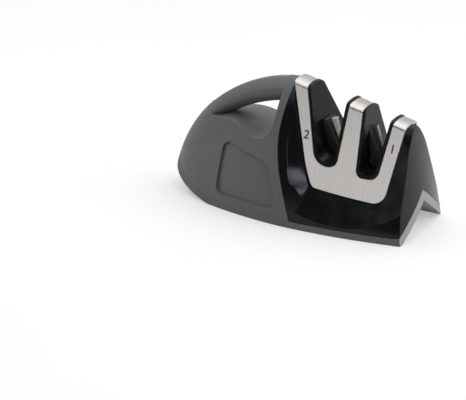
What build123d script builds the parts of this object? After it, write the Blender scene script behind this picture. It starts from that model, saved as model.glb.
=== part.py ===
from build123d import *
import math
import os

os.makedirs("parts", exist_ok=True)

# Manual knife sharpener. +X points to the nose, -Y is the front, +Z is up, millimetres.
# The origin is on the floor, under the middle of the body.

# Body form: arched sections along X
crest_x = 0.3
crest_height = 70.2
tail_run = 74.03
tail_bluntness = 1.8
nose_run = 64.8
nose_drop = 15.2
beam_x = 9.3
half_beam = 31.8
tail_beam_run = 84.0
tail_beam_bluntness = 1.68
nose_beam_run = 61.0
nose_beam_loss = 6.8
tail_arch = (1.6, 0.62)
nose_arch = (1.4, 0.7)
tail_cut = 0.97
form_overrun = 8.0
foot_overrun = 2.0
tail_stations = 9
nose_stations = 5
arch_points = 9

# Nose end: upright cylinder that leans back
nose_x = 73.5
nose_radius = 95.0
nose_lean = 8.8

# Notched base
notch_half_width = 24.0
notch_height = 16.2
lining_height = 21.7
lining_shoulder_half_width = 25.6
lining_shoulder_height = 3.5
lining_edge_height = 3.0
chassis_thickness = 2.2
chassis_clearance = 0.3

# Head: facets and steel saddle
saddle_x = 35.4
saddle_drop = 9.1
saddle_pitch = 13.5
saddle_half_width = 7.0
saddle_lean = 24.1
saddle_crown = 0.8
saddle_bend_radius = 3.0
plate_thickness = 1.0
plate_left_edge = ((20.6, 22.1), (15.3, 31.8), (4.3, 60.0))
plate_left_lean = 0.39
plate_bottom_middle = (39.1, 20.1)
plate_right_foot = (58.9, 18.9)
plate_right_lean = 0.098
plate_left_radius = 5.0
plate_right_radius = 6.0
plate_waist_radius = 60.0
plate_gap = 1.2
head_wall = 2.6

# Shoulder beside the facet: its edge on the flank, (x, half width), at each height of the plate's left edge
shoulder_edge = ((9.9, 27.8), (6.6, 24.8), (2.2, 11.2))
shoulder_edge_lean = (0.34, 0.42)
shoulder_least_width = 1.0
# Shoulder below the plate: height, foot on the facet, edge on the flank (x, half width)
shoulder_foot = ((4.0, 11.5, 11.4, 32.0), (13.0, 15.6, 15.0, 30.3))

# Line between handle and head, (x, z)
parting_line = ((12.6, 0.0), (11.1, 4.0), (3.1, 25.0), (-1.2, 42.0), (-1.2, 58.0), (0.3, 72.0))

# Knife slots: bottom corners, and how far the sides flare per millimetre of height
coarse_x = 47.7
coarse_bottom = 29.7
coarse_half_width = 5.4
coarse_flare = 0.094
coarse_radius = 4.0
fine_x = 24.4
fine_bottom = 32.6
fine_left_x = 20.1
fine_left_flare = 0.338
fine_left_radius = 9.0
fine_right_x = 31.0
fine_right_flare = 0.015
fine_right_radius = 3.6
slot_wall = 1.8
guide_wall = 1.4
guide_proud = 0.3
slot_clearance = 0.1
plate_slot_clearance = 0.3

# Crossed abrasives and their holders
cross_height = 38.5
abrasive_above = 13.0
abrasive_below = 7.5
carbide_lean = 18.0
carbide_width = 3.4
carbide_thickness = 2.2
ceramic_lean = 16.0
ceramic_width = 3.8
ceramic_thickness = 2.8
abrasive_clearance = 0.05
holder_half_width = 8.2
holder_bottom = 29.4
holder_top = 51.0
holder_half_depth = 5.0
holder_mouth_angle = 25.0
holder_mouth_below_cross = 1.0
holder_mouth_above_top = 1.0
holder_clearance = 0.15

# Handle
handle_wall = 3.4
bar_height = 13.0
bar_half_width = 7.6
bar_sink = 0.4
bar_stations = 9
opening_floor = ((-51.0, 44.2), (-41.0, 44.3), (-33.5, 45.4), (-24.0, 43.4), (-14.0, 38.6), (-5.6, 36.0))
opening_left_radius = 4.5
opening_right_radius = 9.0
scoop_depth = 1.6
scoop_corners = ((-36.0, 7.6), (3.4, 7.6), (-2.2, 25.0), (-7.0, 30.5), (-34.0, 36.0))
scoop_radius = 4.5

# Fasteners, all along Y, driven from the rear
head_screw_places = ((12.6, 45.0), (36.2, 37.0), (58.6, 38.0))
head_screw_diameter = 2.2
head_screw_head_diameter = 4.0
head_boss_diameter = 4.6
head_seat_y = 4.0
handle_screw_places = ((-52.0, 33.0), (-30.0, 30.0), (-14.0, 28.3))
handle_screw_diameter = 2.9
handle_screw_head_diameter = 5.2
handle_boss_diameter = 6.4
handle_seat_y = 4.0
screw_head_height = 1.8
screw_reach = 9.0
pilot_spare = 1.0
screw_clearance = 0.1
plug_length = 4.0
plug_inset = 0.2
holder_screw_offset = 5.2
holder_screw_height = 33.2
holder_screw_diameter = 1.6
holder_screw_head_diameter = 3.0
holder_screw_head_height = 1.2
holder_screw_reach = 4.0
lug_width = 6.4
lug_half_thickness = 1.0

# Sizes that follow from those above
saddle_top = crest_height - saddle_drop
cut_top = crest_height + form_overrun
pilot_depth = screw_reach + pilot_spare

# Large enough to pass every surface of the body
reach = 120.0


def body_height(x, inset):
    if x < crest_x:
        share = (crest_x - x) / (tail_run - inset)
        return (crest_height - inset) * math.sqrt(1 - share**tail_bluntness)
    return crest_height - inset - nose_drop * ((x - crest_x) / nose_run) ** 2


def body_half_width(x, inset):
    if x < beam_x:
        share = (beam_x - x) / (tail_beam_run - inset)
        return (half_beam - inset) * math.sqrt(1 - share**tail_beam_bluntness)
    return half_beam - inset - nose_beam_loss * ((x - beam_x) / nose_beam_run) ** 2


def arch(x, inset):
    """Points of the arched section at x, from the front foot over the crest to the rear foot."""
    height = body_height(x, inset)
    half_width = body_half_width(x, inset)
    share = (x + tail_run) / (nose_x + tail_run)
    sharp = tail_arch[0] + share * (nose_arch[0] - tail_arch[0])
    full = tail_arch[1] + share * (nose_arch[1] - tail_arch[1])
    rear = []
    for i in range(arch_points + 1):
        rise = math.sin(math.pi / 2 * i / arch_points)
        rear.append((half_width * max(0.0, 1 - rise**sharp) ** full, height * rise))
    front = [(-y, z) for y, z in rear[:-1]]
    return front + rear[::-1]


def stations(inset):
    """Places of the sections along X, closer together towards the tail."""
    tail_length = (tail_run - inset) * tail_cut
    tail = [crest_x - tail_length * math.cos(math.pi / 2 * i / tail_stations) for i in range(tail_stations)]
    nose_length = nose_x + form_overrun - crest_x
    nose = [crest_x + nose_length * i / nose_stations for i in range(nose_stations + 1)]
    return tail + nose


def body_form(inset=0.0):
    """The whole outer form, drawn in by the inset. It runs on a little below the floor."""
    with BuildPart() as form:
        for x in stations(inset):
            points = arch(x, inset)
            front_foot = (points[0][0], -foot_overrun)
            rear_foot = (points[-1][0], -foot_overrun)
            with BuildSketch(Plane.YZ.offset(x)):
                with BuildLine():
                    Spline(*points, tangents=((0, 1), (0, -1)))
                    Polyline(points[-1], rear_foot, front_foot, points[0])
                make_face()
        loft()
    return form.part


def nose_form(inset=0.0):
    """Everything behind the curved nose end."""
    axis_x = nose_x - nose_radius / math.cos(math.radians(nose_lean))
    with BuildPart(Plane.XY) as form:
        with Locations(Location((axis_x, 0, 0), (0, -nose_lean, 0))):
            Cylinder(nose_radius - inset, 2 * reach)
    return form.part


def lining_roof(rise=0.0):
    """Prism along X from below the floor up to the roof of the notched base, lifted by the rise."""
    with BuildPart() as form:
        with BuildSketch(Plane.YZ.offset(-reach)):
            with BuildLine():
                Polyline(
                    (-reach, -reach),
                    (-reach, lining_edge_height + rise),
                    (-lining_shoulder_half_width, lining_shoulder_height + rise),
                    (0, lining_height + rise),
                    (lining_shoulder_half_width, lining_shoulder_height + rise),
                    (reach, lining_edge_height + rise),
                    (reach, -reach),
                    close=True,
                )
            make_face()
        extrude(amount=2 * reach)
    return form.part


def notch_form():
    with BuildPart() as form:
        with BuildSketch(Plane.YZ.offset(-reach)):
            with BuildLine():
                Polyline(
                    (-notch_half_width, 0), (0, notch_height), (notch_half_width, 0), (0, -reach), close=True
                )
            make_face()
        extrude(amount=2 * reach)
    return form.part


def saddle_form(inset=0.0):
    """Wedge under the steel saddle, drawn in by the inset. Its ridge falls towards the nose."""
    pitch = math.radians(saddle_pitch)
    lean = math.radians(saddle_lean)
    along = (math.cos(pitch), 0, -math.sin(pitch))
    plane = Plane(origin=(saddle_x, 0, saddle_top), x_dir=(0, 1, 0), z_dir=along)
    shoulder = saddle_half_width - inset * (1 - math.sin(lean)) / math.cos(lean)
    foot = shoulder + reach * math.tan(lean)
    with BuildPart() as form:
        with BuildSketch(plane.offset(-reach)):
            with BuildLine():
                ThreePointArc((-shoulder, -inset), (0, saddle_crown - inset), (shoulder, -inset))
                Polyline(
                    (shoulder, -inset), (foot, -inset - reach), (-foot, -inset - reach), (-shoulder, -inset)
                )
            make_face()
        extrude(amount=2 * reach)
        if saddle_bend_radius > inset:
            ridges = form.edges().filter_by(lambda edge: edge.length > reach).group_by(Axis.Z)[-1]
            fillet(ridges, saddle_bend_radius - inset)
    return form.part


def plate_left_top():
    """Point above the crest that the plate's left edge runs to."""
    x, z = plate_left_edge[-1]
    return (x - plate_left_lean * (cut_top - z), cut_top)


def facet_zone():
    """Region beside the shoulder that the facets are cut from."""
    lines = list(shoulder_foot)
    for (plate_x, height), (edge_x, edge_y) in zip(plate_left_edge, shoulder_edge):
        lines.append((height, plate_x - plate_gap, edge_x, edge_y))
    rise = cut_top - lines[-1][0]
    edge_x = lines[-1][2] - shoulder_edge_lean[0] * rise
    edge_y = lines[-1][3] - shoulder_edge_lean[1] * rise
    lines.append((cut_top, plate_left_top()[0] - plate_gap, edge_x, edge_y))
    with BuildPart() as form:
        for height, foot_x, edge_x, edge_y in lines:
            drop = saddle_top - math.tan(math.radians(saddle_pitch)) * (foot_x - saddle_x) - height
            foot_y = max(shoulder_least_width, saddle_half_width + math.tan(math.radians(saddle_lean)) * drop)
            slope = (edge_x - foot_x) / max(shoulder_least_width, edge_y - foot_y)
            wall_x = foot_x + slope * (2 * half_beam - foot_y)
            with BuildSketch(Plane.XY.offset(height)):
                with BuildLine():
                    Polyline(
                        (foot_x, -foot_y),
                        (wall_x, -2 * half_beam),
                        (reach, -2 * half_beam),
                        (reach, 2 * half_beam),
                        (wall_x, 2 * half_beam),
                        (foot_x, foot_y),
                        close=True,
                    )
                make_face()
        loft(ruled=True)
    return form.part


def head_side(shift=0.0):
    """Everything on the nose side of the parting line."""
    line = [(x + shift, z) for x, z in parting_line]
    with BuildPart() as form:
        with BuildSketch(Plane.XZ.offset(-reach)):
            with BuildLine():
                Spline(*line)
                above = (line[-1][0], reach)
                below = (line[0][0], -reach)
                Polyline(line[-1], above, (reach, reach), (reach, -reach), below, line[0])
            make_face()
        extrude(amount=2 * reach)
    return form.part


def slot_points(kind):
    """Corners of a knife slot seen from the front: lower left, lower right, upper right, upper left."""
    if kind == "coarse":
        spread = coarse_flare * (cut_top - coarse_bottom)
        return (
            (coarse_x - coarse_half_width, coarse_bottom),
            (coarse_x + coarse_half_width, coarse_bottom),
            (coarse_x + coarse_half_width + spread, cut_top),
            (coarse_x - coarse_half_width - spread, cut_top),
        )
    height = cut_top - fine_bottom
    return (
        (fine_left_x, fine_bottom),
        (fine_right_x, fine_bottom),
        (fine_right_x + fine_right_flare * height, cut_top),
        (fine_left_x - fine_left_flare * height, cut_top),
    )


def slot_form(kind, grow=0.0):
    """A knife slot through the head along Y, its outline moved out by grow."""
    corners = slot_points(kind)
    left_radius = coarse_radius if kind == "coarse" else fine_left_radius
    right_radius = coarse_radius if kind == "coarse" else fine_right_radius
    with BuildPart() as form:
        with BuildSketch(Plane.XZ.offset(-reach)) as outline:
            with BuildLine():
                Polyline(*corners, close=True)
            make_face()
            fillet(outline.vertices().sort_by_distance(corners[0])[0], left_radius)
            fillet(outline.vertices().sort_by_distance(corners[1])[0], right_radius)
            if grow:
                offset(amount=grow)
        extrude(amount=2 * reach)
    return form.part


def plate_outline():
    """The saddle's outline seen from the front, as a prism along Y."""
    left_foot, left_waist = plate_left_edge[:2]
    right_top = (plate_right_foot[0] + plate_right_lean * (cut_top - plate_right_foot[1]), cut_top)
    with BuildPart() as form:
        with BuildSketch(Plane.XZ.offset(-reach)) as outline:
            with BuildLine():
                ThreePointArc(left_foot, plate_bottom_middle, plate_right_foot)
                Polyline(plate_right_foot, right_top, plate_left_top(), *plate_left_edge[::-1])
            make_face()
            fillet(outline.vertices().sort_by_distance(left_waist)[0], plate_waist_radius)
            fillet(outline.vertices().sort_by_distance(left_foot)[0], plate_left_radius)
            fillet(outline.vertices().sort_by_distance(plate_right_foot)[0], plate_right_radius)
        extrude(amount=2 * reach)
    return form.part


def holder_space(x, grow=0.0):
    """The block that a pair of holder halves fills, moved out by grow."""
    with BuildPart() as form:
        with Locations((x, 0, (holder_bottom + holder_top) / 2)):
            Box(
                2 * (holder_half_width + grow),
                2 * (holder_half_depth + grow),
                holder_top - holder_bottom + 2 * grow,
            )
    return form.part


def rod(x, z, diameter, start, end):
    """Round bar along Y from start to end."""
    with BuildPart() as form:
        with BuildSketch(Plane.XZ.offset(-start)):
            with Locations((x, z)):
                Circle(diameter / 2)
        extrude(amount=start - end)
    return form.part


def abrasive_form(x, side, lean, width, thickness, grow=0.0):
    """One bar of a crossed pair. Side is -1 for the front bar, 1 for the rear bar."""
    angle = math.radians(lean)
    along = (-side * math.sin(angle), math.cos(angle))
    across = (-side * math.cos(angle), -math.sin(angle))
    corners = []
    for along_by, across_by in (
        (-abrasive_below - grow, -grow),
        (abrasive_above + grow, -grow),
        (abrasive_above + grow, width + grow),
        (-abrasive_below - grow, width + grow),
    ):
        corners.append(
            (
                x + along_by * along[0] + across_by * across[0],
                cross_height + along_by * along[1] + across_by * across[1],
            )
        )
    near = side * (abrasive_clearance - grow)
    far = side * (abrasive_clearance + thickness + grow)
    with BuildPart() as form:
        with BuildSketch(Plane.XZ.offset(-max(near, far))):
            with BuildLine():
                Polyline(*corners, close=True)
            make_face()
        extrude(amount=abs(far - near))
    return form.part


def bar_form(inset=0.0):
    """The round grip bar under the crest, long enough to run into both of its ends."""
    start = opening_floor[0][0] - bar_height
    step = (opening_floor[-1][0] + bar_height - start) / bar_stations
    with BuildPart() as form:
        for i in range(bar_stations + 1):
            x = start + i * step
            middle = body_height(x, 0) - bar_sink - bar_height / 2
            with BuildSketch(Plane.YZ.offset(x)):
                with Locations((0, middle)):
                    Ellipse(bar_half_width - inset, bar_height / 2 - inset)
        loft()
    return form.part


def opening_form(grow=0.0):
    """The finger opening, moved out by grow and open upwards past the crest, as a prism along Y."""
    floor = [(x, z - grow) for x, z in opening_floor]
    left_foot = (floor[0][0] - grow, floor[0][1])
    right_foot = (floor[-1][0] + grow, floor[-1][1])
    with BuildPart() as form:
        with BuildSketch(Plane.XZ.offset(-reach)) as outline:
            with BuildLine():
                Spline(left_foot, *floor[1:-1], right_foot)
                Polyline(right_foot, (right_foot[0], reach), (left_foot[0], reach), left_foot)
            make_face()
            fillet(outline.vertices().sort_by_distance(left_foot)[0], opening_left_radius + grow)
            fillet(outline.vertices().sort_by_distance(right_foot)[0], opening_right_radius + grow)
        extrude(amount=2 * reach)
    return form.part


def scoop_form():
    """The shallow scoop in both flanks of the handle."""
    with BuildPart() as form:
        with BuildSketch(Plane.XZ.offset(-reach)) as outline:
            with BuildLine():
                Polyline(*scoop_corners, close=True)
            make_face()
            fillet(outline.vertices(), scoop_radius)
        extrude(amount=2 * reach)
        add(body_form(scoop_depth), mode=Mode.SUBTRACT)
    return form.part


# The whole form and the forms that several pieces share
outer_form = body_form()
nose_end = nose_form()
lining_top = lining_roof()
head_region = head_side()
finger_opening = opening_form()
slot_places = (("coarse", coarse_x), ("fine", fine_x))
split_plane = Plane.XZ

with BuildPart() as chassis_space:
    add(body_form(handle_wall))
    add(nose_form(head_wall), mode=Mode.INTERSECT)
    add(lining_roof(chassis_thickness + chassis_clearance), mode=Mode.INTERSECT)

# Rubber that lines the notch and forms the two feet
with BuildPart() as base_lining:
    add(outer_form)
    add(nose_end, mode=Mode.INTERSECT)
    add(lining_top, mode=Mode.INTERSECT)
    add(notch_form(), mode=Mode.SUBTRACT)
    split(bisect_by=Plane.XY, keep=Keep.TOP)
base_lining.part.label = "base_lining"

# Front half of the head. The rear half is its mirror image
with BuildPart() as facet_cut:
    add(facet_zone())
    add(saddle_form(plate_thickness), mode=Mode.SUBTRACT)

with BuildPart() as head_cavity:
    add(body_form(head_wall))
    add(nose_form(head_wall), mode=Mode.INTERSECT)
    add(head_side(head_wall), mode=Mode.INTERSECT)
    add(saddle_form(plate_thickness + head_wall), mode=Mode.INTERSECT)
    for kind, x in slot_places:
        add(slot_form(kind, slot_wall), mode=Mode.SUBTRACT)
        add(holder_space(x, slot_wall), mode=Mode.SUBTRACT)
    for x, z in head_screw_places:
        add(rod(x, z, head_boss_diameter, reach, -reach), mode=Mode.SUBTRACT)

with BuildPart() as head_half:
    add(outer_form)
    split(bisect_by=split_plane, keep=Keep.TOP)
    add(nose_end, mode=Mode.INTERSECT)
    add(head_region, mode=Mode.INTERSECT)
    add(facet_cut.part, mode=Mode.SUBTRACT)
    add(lining_top, mode=Mode.SUBTRACT)
    add(head_cavity.part, mode=Mode.SUBTRACT)
    add(chassis_space.part, mode=Mode.SUBTRACT)
    for kind, x in slot_places:
        add(slot_form(kind, slot_clearance), mode=Mode.SUBTRACT)
        add(holder_space(x, holder_clearance), mode=Mode.SUBTRACT)

# Head halves with their screw holes
with BuildPart() as head_housing_front:
    add(head_half.part)
    for x, z in head_screw_places:
        add(rod(x, z, head_screw_diameter + screw_clearance, 0, -pilot_depth), mode=Mode.SUBTRACT)
head_housing_front.part.label = "head_housing_front"

with BuildPart() as head_housing_rear:
    mirror(head_half.part, about=split_plane)
    for x, z in head_screw_places:
        add(rod(x, z, head_screw_diameter + screw_clearance, head_seat_y, 0), mode=Mode.SUBTRACT)
        add(rod(x, z, head_screw_head_diameter + screw_clearance, reach, head_seat_y), mode=Mode.SUBTRACT)
head_housing_rear.part.label = "head_housing_rear"

# Steel saddle
with BuildPart() as cover_plate:
    add(saddle_form())
    add(saddle_form(plate_thickness), mode=Mode.SUBTRACT)
    add(plate_outline(), mode=Mode.INTERSECT)
    for kind, x in slot_places:
        add(slot_form(kind, plate_slot_clearance), mode=Mode.SUBTRACT)
cover_plate.part.label = "cover_plate"


def slot_guide(kind, x):
    """Black lip around a knife slot, with a window for the holder."""
    with BuildPart() as guide:
        add(slot_form(kind))
        add(slot_form(kind, -guide_wall), mode=Mode.SUBTRACT)
        add(saddle_form(-guide_proud), mode=Mode.INTERSECT)
        add(holder_space(x, holder_clearance), mode=Mode.SUBTRACT)
    guide.part.label = kind + "_slot_guide"
    return guide.part


coarse_slot_guide = slot_guide("coarse", coarse_x)
fine_slot_guide = slot_guide("fine", fine_x)


def holder_half(x, side, lean, width, thickness):
    """Half of a holder: block, knife mouth, bed of its bar, screw hole."""
    mouth_bottom = cross_height - holder_mouth_below_cross
    mouth_top = holder_top + holder_mouth_above_top
    mouth_half_width = (mouth_top - mouth_bottom) * math.tan(math.radians(holder_mouth_angle))
    with BuildPart() as half:
        add(holder_space(x))
        split(bisect_by=split_plane, keep=Keep.TOP if side < 0 else Keep.BOTTOM)
        with BuildSketch(Plane.XZ.offset(-reach)):
            with BuildLine():
                Polyline(
                    (x, mouth_bottom),
                    (x + mouth_half_width, mouth_top),
                    (x - mouth_half_width, mouth_top),
                    close=True,
                )
            make_face()
        extrude(amount=2 * reach, mode=Mode.SUBTRACT)
        add(abrasive_form(x, side, lean, width, thickness, 2 * abrasive_clearance), mode=Mode.SUBTRACT)
        for offset_x in (-holder_screw_offset, holder_screw_offset):
            hole = holder_screw_diameter + screw_clearance
            add(rod(x + offset_x, holder_screw_height, hole, reach, -reach), mode=Mode.SUBTRACT)
            if side < 0:
                seat = holder_screw_head_diameter + screw_clearance
                seat_y = -holder_half_depth + holder_screw_head_height
                add(rod(x + offset_x, holder_screw_height, seat, seat_y, -reach), mode=Mode.SUBTRACT)
    return half.part


carbide = (coarse_x, carbide_lean, carbide_width, carbide_thickness)
ceramic = (fine_x, ceramic_lean, ceramic_width, ceramic_thickness)
pairs = {}
for name, piece, (x, lean, width, thickness) in (
    ("carbide", "blade", carbide),
    ("ceramic", "stone", ceramic),
):
    for place, side in (("front", -1), ("rear", 1)):
        pairs[f"{name}_holder_{place}"] = holder_half(x, side, lean, width, thickness)
        pairs[f"{name}_{piece}_{place}"] = abrasive_form(x, side, lean, width, thickness)

# Front half of the handle. The rear half is its mirror image
with BuildPart() as opening_cut:
    add(finger_opening)
    add(bar_form(), mode=Mode.SUBTRACT)

with BuildPart() as opening_wall:
    add(opening_form(handle_wall))
    add(bar_form(handle_wall), mode=Mode.SUBTRACT)

with BuildPart() as handle_cavity:
    add(body_form(handle_wall))
    add(head_side(-handle_wall), mode=Mode.SUBTRACT)
    add(opening_wall.part, mode=Mode.SUBTRACT)
    for x, z in handle_screw_places:
        boss_start = lug_half_thickness + screw_clearance
        add(rod(x, z, handle_boss_diameter, reach, boss_start), mode=Mode.SUBTRACT)
        add(rod(x, z, handle_boss_diameter, -boss_start, -reach), mode=Mode.SUBTRACT)

with BuildPart() as handle_half:
    add(outer_form)
    split(bisect_by=split_plane, keep=Keep.TOP)
    add(head_region, mode=Mode.SUBTRACT)
    add(lining_top, mode=Mode.SUBTRACT)
    add(opening_cut.part, mode=Mode.SUBTRACT)
    add(scoop_form(), mode=Mode.SUBTRACT)
    add(handle_cavity.part, mode=Mode.SUBTRACT)
    add(chassis_space.part, mode=Mode.SUBTRACT)

# Handle shells with their screw holes
with BuildPart() as handle_shell_front:
    add(handle_half.part)
    for x, z in handle_screw_places:
        add(rod(x, z, handle_screw_diameter + screw_clearance, 0, -pilot_depth), mode=Mode.SUBTRACT)
handle_shell_front.part.label = "handle_shell_front"

with BuildPart() as handle_shell_rear:
    mirror(handle_half.part, about=split_plane)
    for x, z in handle_screw_places:
        add(rod(x, z, handle_screw_diameter + screw_clearance, handle_seat_y, 0), mode=Mode.SUBTRACT)
        add(rod(x, z, handle_screw_head_diameter + screw_clearance, reach, handle_seat_y), mode=Mode.SUBTRACT)
handle_shell_rear.part.label = "handle_shell_rear"

# Stiff floor over the rubber, with a lug for each handle screw
with BuildPart() as base_chassis:
    add(body_form(handle_wall + chassis_clearance))
    add(nose_form(head_wall + chassis_clearance), mode=Mode.INTERSECT)
    add(lining_roof(chassis_thickness), mode=Mode.INTERSECT)
    add(lining_top, mode=Mode.SUBTRACT)
    for x, z in handle_screw_places:
        with Locations((x, 0, (lining_height + z) / 2)):
            Box(lug_width, 2 * lug_half_thickness, z - lining_height)
        add(rod(x, z, lug_width, lug_half_thickness, -lug_half_thickness))
        add(rod(x, z, handle_screw_diameter + screw_clearance, reach, -reach), mode=Mode.SUBTRACT)
base_chassis.part.label = "base_chassis"


def screw(x, z, seat_y, diameter, head_diameter, head_height, length, rise):
    """Pan-head screw along Y. Rise is 1 where the head is on the rear side, -1 on the front side."""
    head_end = seat_y + rise * head_height
    tip = seat_y - rise * length
    with BuildPart() as form:
        add(rod(x, z, head_diameter, max(seat_y, head_end), min(seat_y, head_end)))
        add(rod(x, z, diameter, max(seat_y, tip), min(seat_y, tip)))
    return form.part


with BuildPart() as head_screws:
    for x, z in head_screw_places:
        length = head_seat_y + screw_reach
        diameters = (head_screw_diameter, head_screw_head_diameter)
        add(screw(x, z, head_seat_y, *diameters, screw_head_height, length, 1))
head_screws.part.label = "head_screws"

with BuildPart() as handle_screws:
    for x, z in handle_screw_places:
        length = handle_seat_y + screw_reach
        diameters = (handle_screw_diameter, handle_screw_head_diameter)
        add(screw(x, z, handle_seat_y, *diameters, screw_head_height, length, 1))
handle_screws.part.label = "handle_screws"

with BuildPart() as holder_screws:
    seat_y = holder_screw_head_height - holder_half_depth
    diameters = (holder_screw_diameter, holder_screw_head_diameter)
    for kind, x in slot_places:
        for offset_x in (-holder_screw_offset, holder_screw_offset):
            length = holder_screw_reach - seat_y
            place = (x + offset_x, holder_screw_height, seat_y)
            add(screw(*place, *diameters, holder_screw_head_height, length, -1))
holder_screws.part.label = "holder_screws"

# Plugs over the handle screws
with BuildPart() as screw_plugs:
    for x, z in handle_screw_places:
        add(rod(x, z, handle_screw_head_diameter, reach, handle_seat_y + screw_head_height))
    add(body_form(scoop_depth + plug_inset), mode=Mode.INTERSECT)
    add(body_form(scoop_depth + plug_inset + plug_length), mode=Mode.SUBTRACT)
screw_plugs.part.label = "screw_plugs"

for piece in (
    base_lining,
    base_chassis,
    head_housing_front,
    head_housing_rear,
    handle_shell_front,
    handle_shell_rear,
    cover_plate,
    head_screws,
    handle_screws,
    holder_screws,
    screw_plugs,
):
    export_step(piece.part, f"parts/{piece.part.label}.step")
for part in (coarse_slot_guide, fine_slot_guide):
    export_step(part, f"parts/{part.label}.step")
for name, part in pairs.items():
    part.label = name
    export_step(part, f"parts/{name}.step")
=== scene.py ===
import math

import bpy
from mathutils import Matrix, Vector


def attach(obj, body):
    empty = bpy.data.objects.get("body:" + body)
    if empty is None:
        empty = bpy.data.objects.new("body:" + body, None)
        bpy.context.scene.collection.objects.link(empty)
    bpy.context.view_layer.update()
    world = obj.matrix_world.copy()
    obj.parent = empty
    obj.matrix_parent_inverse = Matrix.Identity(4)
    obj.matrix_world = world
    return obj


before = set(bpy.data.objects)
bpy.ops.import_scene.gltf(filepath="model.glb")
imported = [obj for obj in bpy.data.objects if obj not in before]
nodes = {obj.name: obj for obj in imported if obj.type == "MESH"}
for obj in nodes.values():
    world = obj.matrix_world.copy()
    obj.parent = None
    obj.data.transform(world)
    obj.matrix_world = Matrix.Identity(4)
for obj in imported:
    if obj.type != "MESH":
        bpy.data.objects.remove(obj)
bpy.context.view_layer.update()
scene = bpy.context.scene

# Colours, linear RGB
rubber_dark = (0.132, 0.136, 0.140)
# Pale rubber tone, used on downward faces and, as painted light, on faces turned to +X
rubber_pale_painted_light = (0.36, 0.365, 0.37)
handle_grey = (0.102, 0.106, 0.111)
head_charcoal = (0.0036, 0.0039, 0.0048)
head_gloss_tint = (0.88, 0.93, 1.0, 1.0)
guide_black = (0.006, 0.006, 0.007)
holder_black = (0.013, 0.013, 0.014)
chassis_black = (0.02, 0.02, 0.02)
plug_grey = (0.085, 0.089, 0.094)
plate_steel = (0.60, 0.58, 0.557)
carbide_grey = (0.36, 0.36, 0.37)
screw_zinc = (0.5, 0.5, 0.5)
stone_white = (0.78, 0.77, 0.73)
stone_scatter = (0.0008, 0.0007, 0.0006)
ink_black = (0.022, 0.021, 0.021)
floor_shades = ((0.52, 0.52, 0.52), (0.56, 0.56, 0.56))
room_white = (1.0, 1.0, 1.0, 1.0)

# Noise on the surfaces: scales in cells per metre, and levels of detail
cloud_scale = 55.0
gloss_scale = 130.0
wear_scale = 240.0
floor_cloud_scale = 6.0
coarse_detail = 2.0
middle_detail = 3.0
full_detail = 4.0

# Bands of a noise value that are stretched to a full range
speck_band = (0.35, 0.65)
wear_band = (0.35, 0.75)
gloss_band = (0.3, 0.7)
line_band = (0.75, 1.25)

# Rounding of edges in the shading, in metres
large_edge = 0.0005
small_edge = 0.0003
metal_edge = 0.00025
stone_edge = 0.0002
ink_edge = 0.0001
bevel_samples = 6

# Cosine between the soft and the true normal, from a flat face to a sharp edge
edge_band = (0.995, 0.90)

# Variation on plastic, rubber, stone and ink
speck_lift = 1.6
worn_lift = 2.2
least_wear = 0.2
gloss_below = 0.05
gloss_above = 0.06
grain_strength = 0.25

# Base rubber turns pale by where its surface faces: on faces turned to +X the pale tone is painted light
# from the right, and faces turned downward share it
rubber_mottle = 0.06
painted_light_facing_band = (0.45, 0.55)

# Grinding lines on metal, with their depth in metres
line_shades = (0.89, 1.07)
line_noise_roughness = 0.7
broad_noise_roughness = 0.6
broad_share = 4
metal_edge_lift = 1.06
metal_gloss_spread = 0.03
line_strength = 0.15
line_depth = 0.00002
quarter_turn = 0.25

# Stage numbers printed on the steel posts, in metres: places are (x, z)
mark_height = 0.0062
mark_half_thickness = 0.00002
mark_stroke_growth = 0.00010
mark_places = {"1": (0.0580, 0.0445), "2": (0.0126, 0.0455)}

# Floor and room
floor_half = 20.0
floor_roughness = 0.8
floor_glow = 0.40
room_front_strength = 0.14
room_back_strength = 0.75
room_turn = 0.5
lamp_aim = (0.0, 0.0, 0.03)

# Camera at the photograph's angle
azimuth = math.radians(30.18)
elevation = math.radians(21.93)
distance = 0.84118
frame_shift = (-0.031861, 0.001345)
aim_x = -0.0027
image_width = 466.0
focal_pixels = 1600.0
sensor = 36.0


# Shader building blocks

def new_material(name):
    material = bpy.data.materials.new(name)
    material.use_nodes = True
    tree = material.node_tree
    return material, tree, tree.nodes["Principled BSDF"]


def node(tree, kind, **values):
    made = tree.nodes.new(kind)
    for key, value in values.items():
        setattr(made, key, value)
    return made


def link(tree, source, target):
    tree.links.new(source, target)


def set_constants(shader, constants):
    """Numbers and colours that are the same all over the surface."""
    for socket, value in constants.items():
        shader.inputs[socket].default_value = value


def noise(tree, scale, detail, stretch=(1.0, 1.0, 1.0), roughness=0.5):
    """Noise in the object's own coordinates, in cells per metre."""
    place = node(tree, "ShaderNodeTexCoord")
    mapping = node(tree, "ShaderNodeMapping")
    mapping.inputs["Scale"].default_value = stretch
    link(tree, place.outputs["Object"], mapping.inputs["Vector"])
    cells = node(tree, "ShaderNodeTexNoise")
    cells.inputs["Scale"].default_value = scale
    cells.inputs["Detail"].default_value = detail
    cells.inputs["Roughness"].default_value = roughness
    link(tree, mapping.outputs["Vector"], cells.inputs["Vector"])
    return cells.outputs["Fac"]


def remap(tree, value, band, result=(0.0, 1.0)):
    """Value stretched from a band to a range, and held at its ends."""
    made = node(tree, "ShaderNodeMapRange")
    made.inputs["From Min"].default_value, made.inputs["From Max"].default_value = band
    made.inputs["To Min"].default_value, made.inputs["To Max"].default_value = result
    link(tree, value, made.inputs["Value"])
    return made.outputs["Result"]


def combine(tree, operation, first, second):
    """Two values joined by a math operation. The second is a number or a socket."""
    made = node(tree, "ShaderNodeMath", operation=operation)
    link(tree, first, made.inputs[0])
    if isinstance(second, float):
        made.inputs[1].default_value = second
    else:
        link(tree, second, made.inputs[1])
    return made.outputs["Value"]


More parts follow.
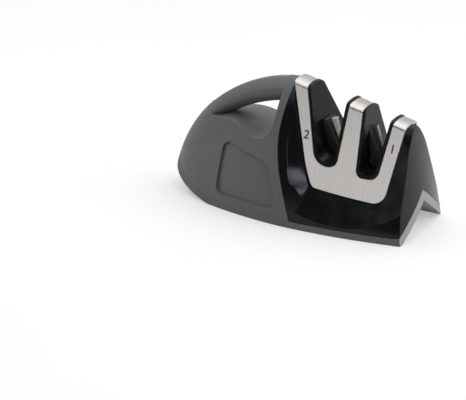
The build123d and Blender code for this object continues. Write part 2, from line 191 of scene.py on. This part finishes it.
def blend_colours(tree, factor, first, second):
    """Colour that goes from first to second with the factor. Each is a colour or a socket."""
    made = node(tree, "ShaderNodeMix", data_type="RGBA")
    link(tree, factor, made.inputs["Factor"])
    colour_inputs = [socket for socket in made.inputs if socket.type == "RGBA"]
    for value, socket in zip((first, second), colour_inputs):
        if isinstance(value, tuple):
            socket.default_value = (*value, 1.0)
        else:
            link(tree, value, socket)
    return next(socket for socket in made.outputs if socket.type == "RGBA")


def scaled(colour, factor):
    return tuple(min(1.0, part * factor) for part in colour)


def edge_mask(tree, radius):
    """Soft normal, and a mask that is 1 on sharp edges."""
    bevel = node(tree, "ShaderNodeBevel", samples=bevel_samples)
    bevel.inputs["Radius"].default_value = radius
    surface = node(tree, "ShaderNodeNewGeometry")
    dot = node(tree, "ShaderNodeVectorMath", operation="DOT_PRODUCT")
    link(tree, bevel.outputs["Normal"], dot.inputs[0])
    link(tree, surface.outputs["Normal"], dot.inputs[1])
    return bevel.outputs["Normal"], remap(tree, dot.outputs["Value"], edge_band)


def bump(tree, height, strength, distance, normal):
    made = node(tree, "ShaderNodeBump")
    made.inputs["Strength"].default_value = strength
    made.inputs["Distance"].default_value = distance
    link(tree, height, made.inputs["Height"])
    link(tree, normal, made.inputs["Normal"])
    return made.outputs["Normal"]


# Materials

def moulded(name, colour, roughness, grain, depth, mottle=0.10, wear=0.35, edge=large_edge, constants=None):
    """Moulded plastic, rubber, stone or ink: fine grain, faint mottling, paler worn edges."""
    material, tree, shader = new_material(name)
    soft_normal, edges = edge_mask(tree, edge)
    cloud = noise(tree, cloud_scale, full_detail)
    fine = noise(tree, grain, coarse_detail)
    body = blend_colours(tree, cloud, scaled(colour, 1 - mottle), scaled(colour, 1 + mottle))
    speck = combine(tree, "MULTIPLY", remap(tree, fine, speck_band), cloud)
    body = blend_colours(tree, speck, body, scaled(colour, 1 + speck_lift * mottle))
    patches = remap(tree, noise(tree, wear_scale, middle_detail), wear_band, (least_wear, wear))
    worn = combine(tree, "MULTIPLY", edges, patches)
    body = blend_colours(tree, worn, body, scaled(colour, worn_lift))
    link(tree, body, shader.inputs["Base Color"])
    gloss_range = (roughness - gloss_below, roughness + gloss_above)
    gloss = remap(tree, noise(tree, gloss_scale, full_detail), gloss_band, gloss_range)
    link(tree, gloss, shader.inputs["Roughness"])
    link(tree, bump(tree, fine, grain_strength, depth, soft_normal), shader.inputs["Normal"])
    set_constants(shader, constants or {})
    return material


def rubber_with_painted_lit_side():
    """Base rubber: darker on the flanks, pale on faces turned downward (in the notch and under the feet),
    and pale as painted light on faces turned to +X, such as the nose end.
    """
    material = moulded(
        "lining_rubber", rubber_pale_painted_light, roughness=0.7, grain=3600.0, depth=0.00006,
        mottle=rubber_mottle, wear=0.1,
    )
    tree = material.node_tree
    base = tree.nodes["Principled BSDF"].inputs["Base Color"]
    pale = base.links[0].from_socket
    facing = node(tree, "ShaderNodeTexCoord")
    parts = node(tree, "ShaderNodeSeparateXYZ")
    link(tree, facing.outputs["Normal"], parts.inputs["Vector"])
    downward = combine(tree, "MULTIPLY", parts.outputs["Z"], -1.0)
    # Mask of faces turned to +X, where the pale tone is painted light from the right, and of faces turned
    # downward
    painted_lit_and_under_faces = remap(tree, combine(tree, "MAXIMUM", parts.outputs["X"], downward), painted_light_facing_band)
    cloud = noise(tree, cloud_scale, full_detail)
    darker = scaled(rubber_dark, 1 - rubber_mottle)
    lighter = scaled(rubber_dark, 1 + rubber_mottle)
    flank = blend_colours(tree, cloud, darker, lighter)
    link(tree, blend_colours(tree, painted_lit_and_under_faces, flank, pale), base)
    return material


def brushed(name, colour, roughness, along, streak, anisotropy=0.0):
    """Metal with fine grinding lines. Along gives the stretch of the lines on each axis."""
    material, tree, shader = new_material(name)
    soft_normal, edges = edge_mask(tree, metal_edge)
    lines = noise(tree, streak, coarse_detail, along, line_noise_roughness)
    broad = noise(tree, streak / broad_share, middle_detail, along, broad_noise_roughness)
    grain = remap(tree, combine(tree, "ADD", lines, broad), line_band)
    body = blend_colours(tree, grain, *(scaled(colour, shade) for shade in line_shades))
    body = blend_colours(tree, edges, body, scaled(colour, metal_edge_lift))
    link(tree, body, shader.inputs["Base Color"])
    shader.inputs["Metallic"].default_value = 1.0
    gloss_range = (roughness - metal_gloss_spread, roughness + metal_gloss_spread)
    link(tree, remap(tree, broad, gloss_band, gloss_range), shader.inputs["Roughness"])
    link(tree, bump(tree, lines, line_strength, line_depth, soft_normal), shader.inputs["Normal"])
    if anisotropy:
        set_constants(shader, {"Anisotropic": anisotropy, "Anisotropic Rotation": quarter_turn})
        tangent = node(tree, "ShaderNodeTangent", direction_type="RADIAL", axis="X")
        link(tree, tangent.outputs["Tangent"], shader.inputs["Tangent"])
    return material


# Base rubber, with painted light on its faces turned to +X
lining_material = rubber_with_painted_lit_side()
handle_material = moulded(
    "soft_touch_grey", handle_grey, roughness=0.46, grain=4200.0, depth=0.00005, mottle=0.08, wear=0.3,
    constants={"Sheen Weight": 0.12, "Sheen Roughness": 0.4},
)
head_material = moulded(
    "charcoal_plastic", head_charcoal, roughness=0.14, grain=5200.0, depth=0.00004, wear=0.5,
    constants={"Specular IOR Level": 0.24, "Specular Tint": head_gloss_tint},
)
guide_material = moulded(
    "gloss_black_plastic", guide_black, roughness=0.2, grain=6000.0, depth=0.00001, mottle=0.08, wear=0.5,
    edge=small_edge, constants={"Specular IOR Level": 0.14},
)
holder_material = moulded(
    "matt_black_plastic", holder_black, roughness=0.5, grain=5200.0, depth=0.00003, mottle=0.12, wear=0.4,
    edge=small_edge,
)
chassis_material = moulded("floor_plastic", chassis_black, roughness=0.6, grain=4200.0, depth=0.00004)
plug_material = moulded(
    "plug_plastic", plug_grey, roughness=0.5, grain=4200.0, depth=0.00004, mottle=0.08, wear=0.4,
    edge=small_edge,
)
stone_material = moulded(
    "white_ceramic", stone_white, roughness=0.5, grain=5200.0, depth=0.00004, mottle=0.05, wear=0.1,
    edge=stone_edge, constants={"Subsurface Weight": 0.15, "Subsurface Radius": stone_scatter},
)
ink_material = moulded(
    "printed_ink", ink_black, roughness=0.55, grain=6000.0, depth=0.00001, mottle=0.15, wear=0.2,
    edge=ink_edge,
)
plate_material = brushed(
    "brushed_plate", plate_steel, roughness=0.38, along=(1.0, 0.012, 0.012), streak=6400.0, anisotropy=0.85
)
carbide_material = brushed(
    "ground_carbide", carbide_grey, roughness=0.36, along=(1.0, 0.08, 0.02), streak=4200.0
)
screw_material = brushed("zinc_screw", screw_zinc, roughness=0.38, along=(0.3, 1.0, 0.3), streak=3000.0)

finishes = {
    "base_lining": lining_material,
    "base_chassis": chassis_material,
    "head_housing_front": head_material,
    "head_housing_rear": head_material,
    "handle_shell_front": handle_material,
    "handle_shell_rear": handle_material,
    "cover_plate": plate_material,
    "coarse_slot_guide": guide_material,
    "fine_slot_guide": guide_material,
    "carbide_holder_front": holder_material,
    "carbide_holder_rear": holder_material,
    "carbide_blade_front": carbide_material,
    "carbide_blade_rear": carbide_material,
    "ceramic_holder_front": holder_material,
    "ceramic_holder_rear": holder_material,
    "ceramic_stone_front": stone_material,
    "ceramic_stone_rear": stone_material,
    "head_screws": screw_material,
    "handle_screws": screw_material,
    "holder_screws": screw_material,
    "screw_plugs": plug_material,
}
for name, material in finishes.items():
    mesh = nodes[name].data
    if mesh.materials:
        mesh.materials[0] = material
    else:
        mesh.materials.append(material)


# Stage numbers

def stage_mark(name, digit, x, z, side):
    """Number on a post of the plate. Side is -1 on the front, 1 on the rear."""
    plate = nodes["cover_plate"]
    found, place, normal, _ = plate.ray_cast(Vector((x, side, z)), Vector((0, -side, 0)))
    if not found:
        raise RuntimeError(f"no plate behind {name}")
    across = Vector((-side, 0, 0))
    across = (across - normal * across.dot(normal)).normalized()
    upward = normal.cross(across)
    text = bpy.data.curves.new(name, "FONT")
    text.body = digit
    text.size = mark_height
    text.align_x = "CENTER"
    text.align_y = "CENTER"
    text.extrude = mark_half_thickness
    text.offset = mark_stroke_growth
    text.materials.append(ink_material)
    mark = bpy.data.objects.new(name, text)
    turn = Matrix((across, upward, normal)).transposed()
    mark.matrix_world = Matrix.Translation(place + normal * mark_half_thickness) @ turn.to_4x4()
    scene.collection.objects.link(mark)
    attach(mark, "root")


bpy.context.view_layer.update()
for digit, (x, z) in mark_places.items():
    for label, side in (("front", -1), ("rear", 1)):
        stage_mark(f"stage_mark_{digit}_{label}", digit, x, z, side)


# Floor and light

def floor_material():
    """Pale floor that also shows as white to the camera and in reflections."""
    material, tree, shader = new_material("pale_floor")
    cloud = noise(tree, floor_cloud_scale, coarse_detail)
    link(tree, blend_colours(tree, cloud, *floor_shades), shader.inputs["Base Color"])
    shader.inputs["Roughness"].default_value = floor_roughness
    path = node(tree, "ShaderNodeLightPath")
    seen = combine(tree, "MAXIMUM", path.outputs["Is Camera Ray"], path.outputs["Is Glossy Ray"])
    seen = combine(tree, "MAXIMUM", seen, path.outputs["Is Transmission Ray"])
    glow = node(tree, "ShaderNodeEmission")
    link(tree, combine(tree, "MULTIPLY", seen, floor_glow), glow.inputs["Strength"])
    both = node(tree, "ShaderNodeAddShader")
    link(tree, shader.outputs["BSDF"], both.inputs[0])
    link(tree, glow.outputs["Emission"], both.inputs[1])
    link(tree, both.outputs["Shader"], tree.nodes["Material Output"].inputs["Surface"])
    return material


def studio_world():
    """Room that is bright behind the object and dim in front of it."""
    world = bpy.data.worlds.new("studio")
    scene.world = world
    world.use_nodes = True
    tree = world.node_tree
    background = tree.nodes["Background"]
    heading = node(tree, "ShaderNodeTexCoord")
    parts = node(tree, "ShaderNodeSeparateXYZ")
    link(tree, heading.outputs["Generated"], parts.inputs["Vector"])
    turn_band = (-room_turn, room_turn)
    strength = remap(tree, parts.outputs["Y"], turn_band, (room_front_strength, room_back_strength))
    link(tree, strength, background.inputs["Strength"])
    background.inputs["Color"].default_value = room_white


def soft_box(name, place, size, power):
    """Rectangular lamp that faces the object. The size is width and height in metres, the power watts."""
    light = bpy.data.lights.new(name, "AREA")
    light.shape = "RECTANGLE"
    light.size, light.size_y = size
    light.energy = power
    lamp = bpy.data.objects.new(name, light)
    lamp.location = place
    lamp.rotation_euler = (Vector(lamp_aim) - Vector(place)).to_track_quat("-Z", "Y").to_euler()
    scene.collection.objects.link(lamp)


floor_corners = [(x * floor_half, y * floor_half, 0) for x, y in ((-1, -1), (1, -1), (1, 1), (-1, 1))]
floor_mesh = bpy.data.meshes.new("floor")
floor_mesh.from_pydata(floor_corners, [], [(0, 1, 2, 3)])
floor_mesh.materials.append(floor_material())
floor = bpy.data.objects.new("floor", floor_mesh)
scene.collection.objects.link(floor)

studio_world()
soft_box("right_soft_box", place=(0.60, 0.10, 0.42), size=(0.5, 0.5), power=1.4)
soft_box("top_soft_box", place=(-0.05, 0.12, 0.80), size=(1.6, 1.3), power=7.0)
soft_box("left_front_fill", place=(-0.80, -0.62, 0.21), size=(0.5, 0.36), power=0.9)
soft_box("front_fill", place=(-0.12, -2.75, 1.22), size=(0.36, 0.80), power=6.2)


# Camera

level = math.cos(elevation)
back = Vector((math.sin(azimuth) * level, -math.cos(azimuth) * level, math.sin(elevation)))
right = Vector((math.cos(azimuth), math.sin(azimuth), 0))
up = back.cross(right)
target = Vector((aim_x, 0, 0)) + right * frame_shift[0] + up * frame_shift[1]
camera_data = bpy.data.cameras.new("camera")
camera_data.sensor_width = sensor
camera_data.sensor_fit = "HORIZONTAL"
camera_data.lens = sensor * focal_pixels / image_width
camera = bpy.data.objects.new("camera", camera_data)
turn = Matrix((right, up, back)).transposed()
camera.matrix_world = Matrix.Translation(target + back * distance) @ turn.to_4x4()
scene.collection.objects.link(camera)
scene.camera = camera
scene.view_settings.view_transform = "Standard"

bpy.context.view_layer.update()
